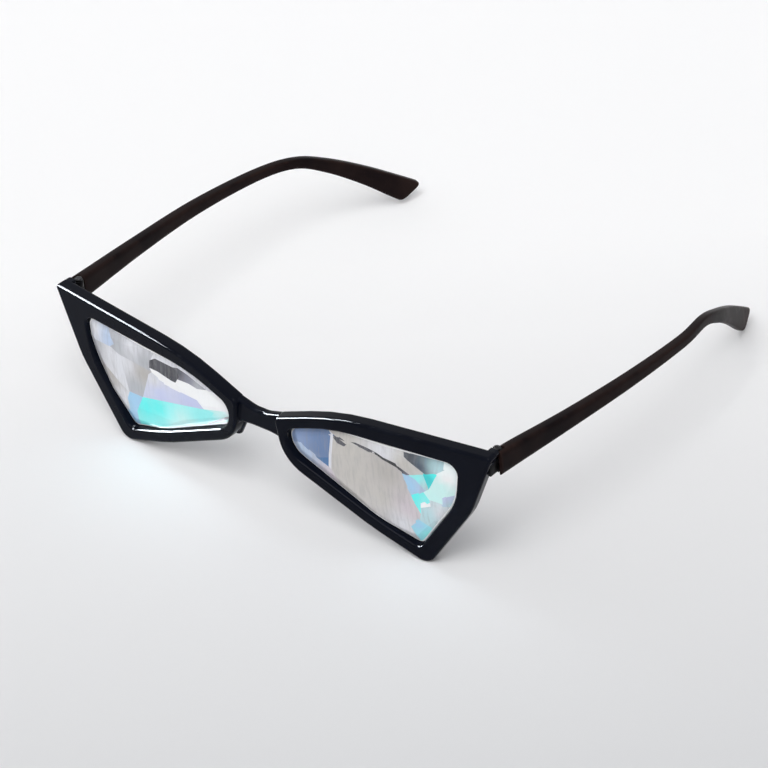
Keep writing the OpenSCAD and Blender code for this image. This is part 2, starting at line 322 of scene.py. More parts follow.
def rounded_slab(bm, depth, outer, opening=(0, 0)):
    """Gives a flat region a depth and rounds its edges.

    outer and opening hold the rounding at the face and at the back, for the outline that reaches
    furthest out in X and for all the others.
    """
    lean = bm.verts.layers.float_vector.new("lean")
    inside = bm.verts.layers.float.new("inside")
    thicken(bm, (0, depth, 0))
    bm.normal_update()
    walls = {f for f in bm.faces if abs(f.normal.y) < 0.5}

    outline = {max(bm.verts, key=lambda v: v.co.x)}
    reached = list(outline)
    while reached:
        for face in reached.pop().link_faces:
            if face in walls:
                more = set(face.verts) - outline
                outline |= more
                reached += more
    for vert in {v for f in walls for v in f.verts}:
        normals = [f.normal for f in vert.link_faces if f in walls]
        first, last = normals[0], normals[-1]
        vert[lean] = (first + last) / max(POINT_LIMIT, 1 + first.dot(last))
        vert[inside] = 0 if vert in outline else 1

    cuts = set()
    for face_r, back_r in (outer, opening):
        if face_r:
            cuts |= {*quarter_depths(face_r), face_r + GUARD}
        if back_r:
            cuts |= {*(depth - d for d in quarter_depths(back_r)), depth - back_r - GUARD}
    drawn = []
    for cut in sorted(cuts):
        if END_GAP < cut < depth - END_GAP and (not drawn or cut - drawn[-1] > RING_GAP):
            drawn.append(cut)
    for cut in drawn:
        bmesh.ops.bisect_plane(
            bm, geom=bm.verts[:] + bm.edges[:] + bm.faces[:], dist=1e-5,
            plane_co=(0, cut, 0), plane_no=(0, 1, 0))
    for vert in bm.verts:
        face_r, back_r = opening if vert[inside] else outer
        vert.co -= vert[lean] * (quarter_inset(vert.co.y, face_r) + quarter_inset(depth - vert.co.y, back_r))
    bm.normal_update()
    for level in (0, depth):
        inset(bm, [f for f in bm.faces if all(abs(v.co.y - level) < 0.002 for v in f.verts)], END_BORDER)
    bm.verts.layers.float_vector.remove(bm.verts.layers.float_vector["lean"])
    bm.verts.layers.float.remove(bm.verts.layers.float["inside"])
    return bm


# ---------------------------------------------------------------- front

# The balls that a nose pad is drawn tight over
PAD_SPOTS = ((8.5, 4.0, -8.6), (8.8, 4.5, -11.6), (10.9, 4.5, -15.9))
PAD_RADIUS = 1.4
# Depth at which a hinge boss ends
BOSS_SEAT = 11.534


def rim(sizes):
    """One rim with its pointed endpiece."""
    opening_back = 0.28
    return rounded_slab(
        flat_region("front_frame", PLACE @ RIM_TURN, 0, -1), FRONT_DEPTH,
        (sizes.face_round / MM, sizes.back_round / MM), (sizes.opening_round / MM, opening_back))


def nose_pad():
    """The moulded pad behind a rim's nose edge."""
    bm = bmesh.new()
    for x, y, z in PAD_SPOTS:
        bmesh.ops.create_uvsphere(
            bm, u_segments=28, v_segments=18, radius=PAD_RADIUS, matrix=Matrix.Translation((x, y, z)))
    bmesh.ops.delete(bm, geom=bm.edges[:], context="EDGES_FACES")
    hull = bmesh.ops.convex_hull(bm, input=bm.verts[:])
    loose = dict.fromkeys(only(hull["geom_interior"] + hull["geom_unused"], bmesh.types.BMVert))
    bmesh.ops.delete(bm, geom=list(loose), context="VERTS")
    bmesh.ops.recalc_face_normals(bm, faces=bm.faces[:])
    return bm


def hinge_boss():
    """The raised seat behind an endpiece, which the hinge leaf is set in."""
    trim, depth, ease, ease_steps = 0.03, 2.8, 0.22, 3
    bm = flat_region("front_frame", PLACE, BOSS_SEAT, 1)
    bmesh.ops.delete(bm, geom=inset(bm, bm.faces[:], trim), context="FACES")
    thicken(bm, Vector((math.sin(FACE_FORM), -math.cos(FACE_FORM), 0)) * depth)
    cap = [f for f in bm.faces if f.normal.y > 0.99 and abs(f.calc_center_median().y - BOSS_SEAT) < 0.01]
    round_cap(bm, cap, ease, ease_steps)
    return bm


def round_cap(bm, cap, radius, steps):
    """Rounds the edge of a flat end, which stays where it is."""
    verts = list({v for f in cap for v in f.verts})
    bmesh.ops.translate(bm, vec=-cap[0].normal * radius, verts=verts)
    for k in range(1, steps + 1):
        a, b = (math.radians(90 * (k - 1) / steps), math.radians(90 * k / steps))
        inset(bm, cap, radius * (math.cos(a) - math.cos(b)), radius * (math.sin(b) - math.sin(a)))


def bridge(sizes):
    """The bar over the nose, set back from the rim faces, whose top runs out along the brows."""
    reach, in_rim, overlap, tab = 9.85, 7.8, 0.05, -4.2
    top, slope, hollow, ease = -4.3, 0.295, 2.2, 1.15
    bottom, drop, drop_from, drop_power = -10, 0.7, 2.4, 1.4
    thickness, back_round, setback = 2.4, 0.85, 1.6
    bm = bmesh.new()
    bmesh.ops.create_grid(bm, x_segments=48, y_segments=1, size=1)
    for vert in bm.verts:
        x = abs(vert.co.x) * reach
        rise = max(0, x - hollow)
        if abs(x - hollow) < ease:
            rise = (x - hollow + ease) ** 2 / (4 * ease)
        fall = drop * (max(0, x - drop_from) / (in_rim - drop_from)) ** drop_power
        low = bottom - fall if x < in_rim + overlap else tab
        vert.co = Vector((vert.co.x * reach, 0, top + slope * rise if vert.co.y > 0 else low))
    rounded_slab(bm, thickness, (sizes.bridge_round / MM, back_round))
    bmesh.ops.translate(bm, vec=(0, setback, 0), verts=bm.verts[:])
    return bm


class CATEYE_OT_front(bpy.types.Operator):
    """Model the moulded front: both rims, the bridge, the nose pads and the hinge bosses"""

    bl_idname = "cateye.front"
    bl_label = "Front"

    def execute(self, context):
        sizes = context.scene.cateye_front
        shells = [turned(rim(sizes), RIM_TURN, left=True), bridge(sizes)]
        for left in (False, True):
            shells.append(turned(nose_pad(), RIM_TURN, left))
            shells.append(turned(hinge_boss(), Matrix.Identity(4), left))
        bm = combine(turned(rim(sizes), RIM_TURN), shells, "UNION")
        turned(bm, PLACE)
        dress(bm, "front", "front", ["front_frame"], polished_plastic(sizes), 28)
        return {"FINISHED"}


# ---------------------------------------------------------------- lenses

# Nose edge, width and height of a lens opening
LENS_X, LENS_W, LENS_H = 9.3, 53.4, 30.6
# A lens's front has the faces whose normals' Y is below the first, and the cuts colour those below
# the second
FRONT_FACING, CUT_FACING = -0.4, -0.78

# Colours that the crystal shows, on the 0 to 255 scale. Most are painted reflections: the colours and white
# highlights that the facets mirror, painted on them
CRYSTAL_AND_REFLECTIONS = {
    "white": (255, 255, 255), "frost": (232, 233, 238), "silver": (184, 186, 192),
    "paper": (204, 200, 194), "sand": (188, 183, 178), "blush": (214, 203, 210),
    "sky": (188, 208, 236), "steel": (140, 164, 206), "denim": (104, 130, 172), "deep": (72, 118, 168),
    "haze": (132, 132, 148), "smoke": (78, 79, 86), "slate": (58, 70, 90), "soot": (38, 38, 44),
    "lavender": (204, 209, 243), "ice": (168, 214, 246), "teal": (190, 226, 232),
    "turquoise": (84, 255, 250), "aqua": (150, 252, 250), "foam": (212, 255, 251),
    "cyan": (40, 208, 212),
}
# Those that hardly show the streaks
CLEAR = ("white", "lavender", "ice", "turquoise", "aqua", "foam", "cyan")

# What each cut of a lens shows as painted reflection: its corners in X and Z, and where in it which
# colours lie. Where two cuts overlap, the later one shows.
RIGHT_CUTS = [
    ([(10, -9), (12, -7), (20, -4.5), (24, -3.8), (23, -10.5), (19, -12), (13.5, -9.2)],
     [(12, -8, "steel"), (22, -5, "denim"), (21, -10, "denim")]),
    ([(19, -12), (23, -10.5), (22, -14), (18, -12.3)], [(21, -12, "deep")]),
    ([(11.8, -10.4), (13.3, -9.2), (18, -12.2), (22, -14), (23, -14.5), (29, -19.8), (26, -21.2)],
     [(14, -10.5, "sky"), (24, -17, "blush")]),
    ([(23.2, -3.8), (24, -3.8), (22.8, -14.5), (22, -14)], [(23, -8, "frost")]),
    ([(24, -3.9), (28.2, -4.3), (33.8, -4.7), (37.6, -4.8), (43.4, -6.6), (45.4, -8.5), (46.7, -13.8),
      (50, -19.5), (46.2, -25), (48.3, -29), (38.3, -27), (26, -21.2), (22.8, -14.5)],
     [(28, -7, "paper"), (30, -14, "paper"), (40, -10, "sand"), (38, -18, "paper"), (46, -19, "blush"),
      (44, -25, "frost")]),
    ([(24.2, -2.5), (34, -1.5), (46, -1.2), (46.2, -2.4), (49, -4), (51.5, -5.3), (51.8, -6.1), (47.2, -7.9),
      (43.5, -6.2), (37.7, -4.5), (34.5, -4), (28.3, -4.2)],
     [(27, -3.2, "paper"), (40, -3, "frost"), (46, -5, "paper")]),
    ([(24, -4.1), (25.1, -3.6), (28.2, -4.9), (27.4, -5.7), (25.3, -5.4)], [(26, -5, "smoke")]),
    ([(29.5, -3.6), (31.1, -3.3), (34.8, -3.6), (36.7, -3.9), (36.3, -4.4), (33.1, -4.3)], [(33, -4, "smoke")]),
    ([(36.3, -3.9), (37.7, -4.1), (39.7, -4.8), (43.5, -5.4), (44.1, -6.5), (43.4, -6.6), (39.3, -5.5)],
     [(40, -5, "soot")]),
    ([(43.5, -6.2), (44.2, -6.1), (47.5, -7.6), (49.1, -9.4), (46.8, -8.3)], [(44, -6, "soot"), (48.5, -9, "haze")]),
    ([(46.2, -2.4), (49, -1.6), (54.6, -1.4), (58.1, -3), (55.7, -4.8), (51.5, -5.3), (49, -4)],
     [(48, -2.5, "smoke"), (51, -4.5, "slate"), (56, -3.5, "teal")]),
    ([(45.4, -8.5), (47.2, -7.9), (49.2, -8.6), (52.1, -11.3), (47.4, -14.2)], [(48, -11, "ice"), (51, -11, "sky")]),
    ([(47.2, -7.9), (51.8, -6.1), (53.2, -10.4), (52.1, -11.3), (49.2, -8.6)], [(50, -8, "aqua"), (52, -10, "teal")]),
    ([(51.8, -6.1), (56.1, -4.9), (53.2, -10.4)], [(53.5, -7, "cyan"), (55.5, -5.3, "turquoise")]),
    ([(56.1, -4.9), (55.7, -4.8), (58.1, -3), (61.5, -4), (61.5, -9), (56.9, -12.2), (56.1, -14.3), (53, -13.9),
      (51.7, -12.2), (52.1, -11.3), (53.2, -10.4)],
     [(59, -5.5, "white"), (57, -9, "foam"), (54, -12.5, "foam")]),
    ([(47.4, -14.2), (51.7, -12.2), (53, -13.9), (50.1, -17.1), (50, -19.5)],
     [(49, -14.5, "turquoise"), (51, -15, "aqua")]),
    ([(50.2, -15.9), (51.5, -15), (53.2, -16), (51.3, -17.4), (50.1, -17.4)], [(51, -16, "white")]),
    ([(56.9, -12.2), (61, -10.4), (60, -14.8), (56.7, -15.2)], [(58, -12.5, "lavender"), (59, -14.5, "teal")]),
    ([(50, -19.5), (50.1, -17.4), (53.2, -16), (53, -13.9), (56.1, -14.3), (56.7, -15.2), (60, -14.8), (55.1, -22.8),
      (52.7, -26), (52.2, -23.3), (49.2, -21.7)],
     [(52, -19, "teal"), (56, -18, "frost"), (52.5, -23.5, "teal")]),
    ([(46.2, -25), (49.2, -21.7), (52.2, -23.3), (53, -26), (50.5, -29.5), (48.3, -29.5)],
     [(49, -24, "ice"), (51, -26, "aqua")]),
]
LEFT_CUTS = [
    ([(65, -3.3), (61, -6), (53.5, -6), (50, -7.5), (48, -18.5), (49, -21.5), (58, -13)],
     [(60, -7, "silver"), (53, -9, "frost"), (50, -18, "frost")]),
    ([(64, -6), (56.5, -14), (48.5, -18.5), (49.3, -25), (51.7, -24), (60.5, -13.5)],
     [(61, -9, "silver"), (55, -16, "sand"), (50, -22, "frost")]),
    ([(61.7, -2.5), (59.3, -1.3), (53.5, -2.3), (51.8, -4.7), (53.5, -6), (59.6, -6.8), (61.1, -6)],
     [(60, -3, "frost"), (54, -4, "sky")]),
    ([(53.5, -2.3), (49, -1.5), (44, -1.4), (37.2, -2), (38.8, -6), (38.3, -7.8), (50, -7.3), (53.5, -6),
      (51.8, -4.7)],
     [(52, -4, "silver"), (45, -3, "frost"), (41, -6, "silver")]),
    ([(50, -7.3), (38.3, -7.8), (39.6, -9), (43, -18), (48, -18.4)],
     [(48, -9, "frost"), (42, -10, "sand"), (45, -16, "silver")]),
    ([(38.8, -5), (37.2, -1.6), (24, -2), (16, -4.6), (18.5, -5.8), (30, -5)], [(30, -3, "frost")]),
    ([(38.7, -4.2), (36.7, -2.9), (33.5, -3), (30.5, -3.1), (29, -3.6), (28.2, -5.1), (29.5, -7.4), (31, -7.4),
      (33.5, -7), (35.9, -6.6), (39, -6.7)],
     [(38, -5.2, "soot"), (36, -4.6, "smoke"), (33.6, -4.3, "smoke"), (31.3, -5.6, "soot"), (29.2, -5.2, "smoke")]),
    ([(30.5, -3.1), (28.6, -2.6), (25, -3.3), (21.6, -4.4), (18.5, -5.3), (21.8, -6.2), (24.8, -5.8), (27.8, -6),
      (28.2, -5.1), (29, -3.6)],
     [(28, -3.8, "smoke"), (25, -4.6, "haze"), (21.7, -5.3, "silver")]),
    ([(39, -6.7), (35.9, -6.6), (33.5, -7), (31, -7.4), (29.5, -7.4), (27.8, -6), (24.8, -5.8), (21.8, -6.2),
      (18.5, -5.3), (9, -7), (9, -8.5), (19.7, -11.7), (22, -9.7), (30, -9.8), (33.8, -9.4), (38.2, -7.9)],
     [(25, -8, "white")]),
    ([(39.6, -9), (38.3, -7.8), (33.8, -10.2), (30, -10.2), (22, -9.7), (19.7, -11.7), (31.2, -14.8), (43, -18)],
     [(38, -10, "frost"), (36, -14, "lavender"), (24, -11.5, "lavender")]),
    ([(48, -18.4), (43, -18), (46.2, -24.2), (46.4, -29), (49, -28), (49.2, -21.3)],
     [(46, -20, "ice"), (48, -26, "ice")]),
    ([(43, -18), (31.2, -14.8), (19.7, -11.7), (16.3, -11.5), (21.9, -19.5), (33.6, -26), (46.4, -30), (46.4, -28),
      (46.2, -24.2)],
     [(42, -21, "turquoise"), (37, -19, "turquoise"), (38, -27, "aqua"), (29, -19, "foam"), (31, -23, "foam"),
      (33, -16, "aqua"), (21, -15, "aqua")]),
    ([(19.7, -11.7), (9, -8.5), (9, -11), (21.9, -19.5), (16.3, -11.5)],
     [(11, -9, "white"), (14, -11, "foam"), (18, -14, "aqua")]),
    ([(19.7, -17.2), (19.3, -16.4), (12.4, -11.4), (11, -10.8), (12.1, -12.1)], [(16, -14, "silver")]),
]


def sides_of(corners):
    """The sides of a cut, each as its two corners."""
    return zip(corners, corners[1:] + corners[:1])


def holds(corners, x, z):
    """Says whether a point lies within a cut's corners."""
    inside = False
    for (ax, az), (bx, bz) in sides_of(corners):
        if (az > z) != (bz > z) and x < ax + (bx - ax) * (z - az) / (bz - az):
            inside = not inside
    return inside


def gap(corners, x, z):
    """How far a point lies from a cut's outline."""
    def reach(a, b):
        share = min(1, max(0, geometry.intersect_point_line((x, z), a, b)[1]))
        return (Vector((x, z)) - Vector(a).lerp(Vector(b), share)).length
    return min(reach(a, b) for a, b in sides_of(corners))


def shade(spots, x, z):
    """Mixes a cut's painted reflection colours by how near a point lies to each. The alpha says how streaked it is.
    """
    softness, clear_streaks = 0.5, 0.12
    weights = [1 / ((x - sx) ** 2 + (z - sz) ** 2 + softness) for sx, sz, _ in spots]
    tones = [colour(*CRYSTAL_AND_REFLECTIONS[name]) for _, _, name in spots]
    streak_shares = [clear_streaks if name in CLEAR else 1 for _, _, name in spots]
    whole = sum(weights)
    mixed = [sum(w * tone[i] for w, tone in zip(weights, tones)) / whole for i in range(3)]
    return mixed + [sum(w * streak_share for w, streak_share in zip(weights, streak_shares)) / whole]


def split_front(bm, point, normal, low=None, high=None):
    """Splits the faces of a lens's front along a plane, within a range of X and Z."""
    faces = [f for f in bm.faces if f.normal.y <= FRONT_FACING]
    if low:
        faces = [
            f for f, centre in ((f, f.calc_center_median()) for f in faces)
            if low[0] < centre.x < high[0] and low[1] < centre.z < high[1]
        ]
    edges = dict.fromkeys(e for f in faces for e in f.edges)
    verts = dict.fromkeys(v for f in faces for v in f.verts)
    bmesh.ops.bisect_plane(bm, geom=[*verts, *edges, *faces], dist=1e-4, plane_co=point, plane_no=normal)


def crystal(look):
    """A cut lens: a flat blank whose front is ground to facets."""
    middle = Vector((LENS_X + LENS_W * 0.56, -LENS_H * 0.42))
    edge_depth, back, blank = 2.9, 3.8, 2.4
    border, inner, inner_inset = 14, 9, 2.6
    bm = flat_region("lens_right", PLACE @ RIM_TURN, back, 1)
    outline = [Vector((v.co.x, v.co.z)) for v in bm.verts]
    thicken(bm, (0, -blank, 0))
    merge_flat(bm, 0.5)
    facets = [(k * 360 / border + 6, 0, look.border_slope) for k in range(border)]
    facets += [(k * 360 / inner + 25, inner_inset, look.inner_slope) for k in range(inner)]
    for turn, further_in, slope in facets:
        a = math.radians(turn)
        towards = Vector((math.cos(a), math.sin(a)))
        reach = max((p - middle).dot(towards) for p in outline) + 0.05 - further_in
        depth = edge_depth - further_in * math.tan(look.border_slope)
        point = (middle.x + towards.x * reach, depth, middle.y + towards.y * reach)
        normal = (math.sin(slope) * towards.x, -math.cos(slope), math.sin(slope) * towards.y)
        cut = bmesh.ops.bisect_plane(
            bm, geom=bm.verts[:] + bm.edges[:] + bm.faces[:], dist=1e-5,
            plane_co=point, plane_no=normal, clear_outer=True)
        rim_edges = only(cut["geom_cut"], bmesh.types.BMEdge)
        if rim_edges:
            bmesh.ops.contextual_create(bm, geom=rim_edges)
    for vert in bm.verts:
        if vert.co.y < back - 0.01:
            up, out = (vert.co.z + LENS_H) / LENS_H, (vert.co.x - LENS_X) / LENS_W
            vert.co.y -= look.lift / MM * (0.5 * up + 0.5 * out)
    bmesh.ops.recalc_face_normals(bm, faces=bm.faces[:])
    bm.normal_update()
    arris = [
        e for e in bm.edges
        if len(e.link_faces) == 2
        and min(f.normal.y for f in e.link_faces) < -0.6
        and max(f.normal.y for f in e.link_faces) > -0.3
    ]
    bevel(bm, arris, look.arris / MM, 1)
    bm.normal_update()
    return bm


def colour_cuts(bm, cuts, line):
    """Splits the front of a lens along the edges of its cuts and paints reflections on them, and a highlight along
    the lens edge.
    """
    colour_and_reflection = bm.loops.layers.float_color.new("colour_and_reflection")
    painted_as_highlight = bm.faces.layers.int.new("painted_as_highlight")
    grid, margin = 2, 1.5
    # Painted highlight: a strip along the lens edge, which is painted white below
    for face in inset(bm, [f for f in bm.faces if f.normal.y < CUT_FACING], line):
        face[painted_as_highlight] = 1
    for x in range(12, 64, grid):
        split_front(bm, (x, 0, 0), (1, 0, 0))
    for z in range(-28, 0, grid):
        split_front(bm, (0, 0, z), (0, 0, 1))
    for corners, _ in cuts:
        low = (min(x for x, _ in corners) - margin, min(z for _, z in corners) - margin)
        high = (max(x for x, _ in corners) + margin, max(z for _, z in corners) + margin)
        for (ax, az), (bx, bz) in sides_of(corners):
            split_front(bm, (ax, 0, az), Vector((az - bz, 0, bx - ax)).normalized(), low, high)
    bm.normal_update()
    for face in bm.faces:
        centre = face.calc_center_median()
        found = None
        if face.normal.y < CUT_FACING and not face[painted_as_highlight]:
            found = next((spots for corners, spots in reversed(cuts) if holds(corners, centre.x, centre.z)), None)
            found = found or min(cuts, key=lambda cut: gap(cut[0], centre.x, centre.z))[1]
        for loop in face.loops:
            at = loop.vert.co
            if found:
                loop[colour_and_reflection] = shade(found, at.x, at.z)
            # Painted highlight: the strip and the bevel along the lens edge are painted white
            elif face.normal.y < FRONT_FACING:
                loop[colour_and_reflection] = (*colour(*CRYSTAL_AND_REFLECTIONS["white"]), 0)
            else:
                loop[colour_and_reflection] = (*colour(*CRYSTAL_AND_REFLECTIONS["frost"]), 0.4)


class CATEYE_OT_lenses(bpy.types.Operator):
    """Cut the two crystal lenses and paint reflections on their facets"""

    bl_idname = "cateye.lenses"
    bl_label = "Lenses"

    def execute(self, context):
        look = context.scene.cateye_lenses
        made = cut_crystal(look)
        for side, cuts in (("right", RIGHT_CUTS), ("left", LEFT_CUTS)):
            bm = crystal(look)
            colour_cuts(bm, cuts, look.line / MM)
            turned(bm, PLACE @ RIM_TURN, left=side == "left")
            dress(bm, f"crystal_{side}", "front", [f"lens_{side}"], made, 2)
        return {"FINISHED"}


# ---------------------------------------------------------------- temples

# Centre line of the right temple: X, Y, Z, thickness and height of its section
TEMPLE_LINE = [
    (70.646, 9.654, 1.2, 3.4, 7.2), (71.021, 18.364, 0.549, 3.4, 6.8), (72.396, 39.484, -1.125, 3.3, 5.0),
    (73.146, 64.124, -3.171, 3.1, 3.8), (71.896, 87.884, -5.868, 2.8, 3.0), (68.978, 101.084, -8.1, 2.5, 3.0),
    (65.920, 110.984, -13.360, 2.5, 3.8), (61.889, 120.884, -20.490, 2.6, 5.0),
    (58.553, 129.134, -27.387, 2.7, 6.2), (56.746, 134.084, -31.478, 2.8, 6.6),
]
# Depth of its front end, and the side and depth of the pocket cut in it for the hinge
TEMPLE_FRONT, POCKET_X, POCKET_DEPTH = 11.654, 71.396, 14.634
# Sections drawn from one point of the centre line to the next, and how square they are: 1 is round
SECTION_STEPS, ROUNDNESS = 6, 0.45
# Slant of the ear tip's end, the sections over which it builds up, and how far the end is rounded,
# along the temple and as a share of its width
TIP_SLANT, SLANT_STEPS, END_LENGTH, END_SHARE = 0.46, 8, 1.3, 0.34


def between(a, b, c, d, t):
    """A point on the smooth curve from b to c."""
    return 0.5 * (2 * b + (c - a) * t + (2 * a - 5 * b + 4 * c - d) * t * t + (3 * b - a - 3 * c + d) * t * t * t)


def temple_rings(sides):
    """The sections of a temple from the hinge to the rounded ear tip."""
    line = TEMPLE_LINE
    last = len(line) - 1
    path = []
    for i in range(last):
        four = [line[max(0, i - 1)], line[i], line[i + 1], line[min(last, i + 2)]]
        for k in range(SECTION_STEPS):
            path.append([between(*values, k / SECTION_STEPS) for values in zip(*four)])
    path.append(list(line[last]))
    end = len(path) - 1

    def full(v):
        return math.copysign(abs(v) ** ROUNDNESS, v)

    def ring(index, size, along):
        here = path[index]
        after, before = path[min(end, index + 1)], path[max(0, index - 1)]
        ahead = (Vector(after[:3]) - Vector(before[:3])).normalized()
        side = ahead.cross(Vector((0, 0, 1))).normalized()
        up = side.cross(ahead)
        centre = Vector(here[:3]) + ahead * along
        slant = TIP_SLANT * max(0, 1 - (end - index) / SLANT_STEPS) * here[4] / 2
        return [
            centre + side * full(math.cos(a)) * here[3] / 2 * size + up * full(math.sin(a)) * here[4] / 2 * size
            + ahead * slant * (full(math.sin(a)) * size - 1)
            for a in (2 * math.pi * k / sides for k in range(sides))
        ]

    rings = [ring(i, 1, 0) for i in range(end + 1)]
    for degrees in range(12, 90, 12):
        a = math.radians(degrees)
        rings.append(ring(end, 1 - END_SHARE * (1 - math.cos(a)), END_LENGTH * math.sin(a)))
    return rings


def block(centre, size):
    """A box."""
    bm = bmesh.new()
    bmesh.ops.create_cube(bm, size=1, matrix=Matrix.Translation(centre) @ Matrix.Diagonal((*size, 1)))
    return bm


def temple(look):
    """One temple: a tapering bar with its bend and flattened ear tip, cut for the hinge."""
    bm = bmesh.new()
    place = bm.verts.layers.int.new("place")
    rings = temple_rings(look.sides)
    circle = bmesh.ops.create_circle(bm, cap_ends=True, segments=look.sides, radius=1)
    for number, vert in enumerate(circle["verts"]):
        vert[place] = number
        vert.co = rings[0][number]
    bm.faces.ensure_lookup_table()
    cap = bm.faces[0]
    for number, ring in enumerate(rings[1:]):
        step = bmesh.ops.extrude_face_region(bm, geom=[cap], use_keep_orig=True)
        for vert in only(step["geom"], bmesh.types.BMVert):
            vert.co = ring[vert[place]]
        if number:
            bmesh.ops.delete(bm, geom=[cap], context="FACES_ONLY")
        cap, = only(step["geom"], bmesh.types.BMFace)
    bmesh.ops.recalc_face_normals(bm, faces=bm.faces[:])

    front = block((70, TEMPLE_FRONT - 10, 0), (30, 20, 30))
    pocket = block((POCKET_X - 10, POCKET_DEPTH - 10, 0), (20, 20, 30))
    bm = combine(bm, [front, pocket], "DIFFERENCE")
    bm.normal_update()
    cut = [e for e in sharp_edges(bm, 48) if all(v.co.y < POCKET_DEPTH + 1 for v in e.verts)]
    bevel(bm, cut, look.cut_round / MM, 3)
    return bm


class CATEYE_OT_temples(bpy.types.Operator):
    """Model the two temples"""

    bl_idname = "cateye.temples"
    bl_label = "Temples"

    def execute(self, context):
        look = context.scene.cateye_temples
        made = satin_plastic(look)
        for side in ("right", "left"):
            bm = turned(temple(look), PLACE, left=side == "left")
            dress(bm, f"arm_{side}", f"temple_{side}", [f"temple_{side}"], made, 40)
        return {"FINISHED"}


# ---------------------------------------------------------------- hinges


def eased(name, radius):
    """A copy of a CAD node with its edges rounded."""
    bm = cad_mesh(name, PLACE)
    merge_flat(bm, 1)
    bevel(bm, sharp_edges(bm, 35), radius / MM, 2)
    return turned(bm, PLACE)


class CATEYE_OT_hinges(bpy.types.Operator):
    """Ease the edges of the hinges and screws and give them their metals"""

    bl_idname = "cateye.hinges"
    bl_label = "Hinges and screws"

    def execute(self, context):
        look = context.scene.cateye_hinges
        blackened, steel = hinge_metal(look), screw_metal(look)
        for side in ("left", "right"):
            for kind, body in (("front", "front"), ("temple", f"temple_{side}")):
                name = f"hinge_{kind}_{side}"
                dress(eased(name, look.edge_round), f"leaf_{kind}_{side}", body, [name], blackened)
            name = f"hinge_screw_{side}"
            body = next(b for b, names in frame["record"]["behaviour"]["bodies"].items() if name in names)
            dress(eased(name, look.edge_round * 0.8), f"screw_{side}", body, [name], steel)
        return {"FINISHED"}


# ---------------------------------------------------------------- materials


def group(name, inputs, outputs):
    """A new shader node group and its input and output nodes."""
    tree = bpy.data.node_groups.new(name, "ShaderNodeTree")
    for label, kind, value in inputs:
        socket = tree.interface.new_socket(label, in_out="INPUT", socket_type=kind)
        if value is not None:
            socket.default_value = value
    for label, kind in outputs:
        tree.interface.new_socket(label, in_out="OUTPUT", socket_type=kind)
    return tree, tree.nodes.new("NodeGroupInput"), tree.nodes.new("NodeGroupOutput")


def fill(tree, made, inputs):
    """Sets or links a node's inputs."""
    for key, value in dict(inputs).items():
        if isinstance(value, bpy.types.NodeSocket):
            tree.links.new(value, made.inputs[key])
        else:
            made.inputs[key].default_value = value


def node(tree, kind, inputs=(), **settings):
    """A node with its settings, and its inputs set or linked."""
    made = tree.nodes.new(kind)
    for key, value in settings.items():
        setattr(made, key, value)
    fill(tree, made, inputs)
    return made


def maths(tree, operation, a, b):
    """A Math node's result."""
    return node(tree, "ShaderNodeMath", {0: a, 1: b}, operation=operation).outputs[0]


def total(tree, *parts):
    """The sum of values, each times its share."""
    first, *others = [maths(tree, "MULTIPLY", value, share) for value, share in parts]
    for other in others:
        first = maths(tree, "ADD", first, other)
    return first


def spread(tree, value, low, high, to_low=0.0, to_high=1.0):
    """A value spread from one range to another, and kept in it."""
    made = node(
        tree, "ShaderNodeMapRange",
        {"Value": value, "From Min": low, "From Max": high, "To Min": to_low, "To Max": to_high}, clamp=True)
    return made.outputs["Result"]


def blend(tree, factor, first, second):
    """A colour mixed from two."""
    ends = [end if isinstance(end, bpy.types.NodeSocket) else (*end, 1) for end in (first, second)]
    return node(tree, "ShaderNodeMix", {0: factor, 6: ends[0], 7: ends[1]}, data_type="RGBA").outputs[2]


def noise(tree, vector, scale, detail, **more):
    """A Noise Texture node's outputs."""
    inputs = {"Vector": vector, "Scale": scale, "Detail": detail, **more}
    return node(tree, "ShaderNodeTexNoise", inputs).outputs


def raised(tree, height, strength, distance):
    """A Bump node's normal."""
    inputs = {"Height": height, "Strength": strength, "Distance": distance}
    return node(tree, "ShaderNodeBump", inputs).outputs["Normal"]


def moulded_skin():
    """Fine unevenness and slow drift of tone of a moulded or cast surface."""
    known = bpy.data.node_groups.get("Moulded skin")
    if known:
        return known
    tree, given, put = group(
        "Moulded skin",
        [("Vector", "NodeSocketVector", None), ("Grain", "NodeSocketFloat", 1200.0),
         ("Drift", "NodeSocketFloat", 60.0)],
        [("Height", "NodeSocketFloat"), ("Tone", "NodeSocketFloat")])
    where, grain, drift = (given.outputs[key] for key in ("Vector", "Grain", "Drift"))
    fine = noise(tree, where, grain, 3.0, Roughness=0.6)["Fac"]
    wide = noise(tree, where, drift, 3.0, Roughness=0.5, Distortion=0.4)["Fac"]
    wave = noise(tree, where, maths(tree, "MULTIPLY", drift, 4.0), 1.0)["Fac"]
    fill(tree, put, {
        "Height": total(tree, (fine, 0.35), (wave, 0.65)),
        "Tone": spread(tree, wide, 0.35, 0.68),
    })
    return tree


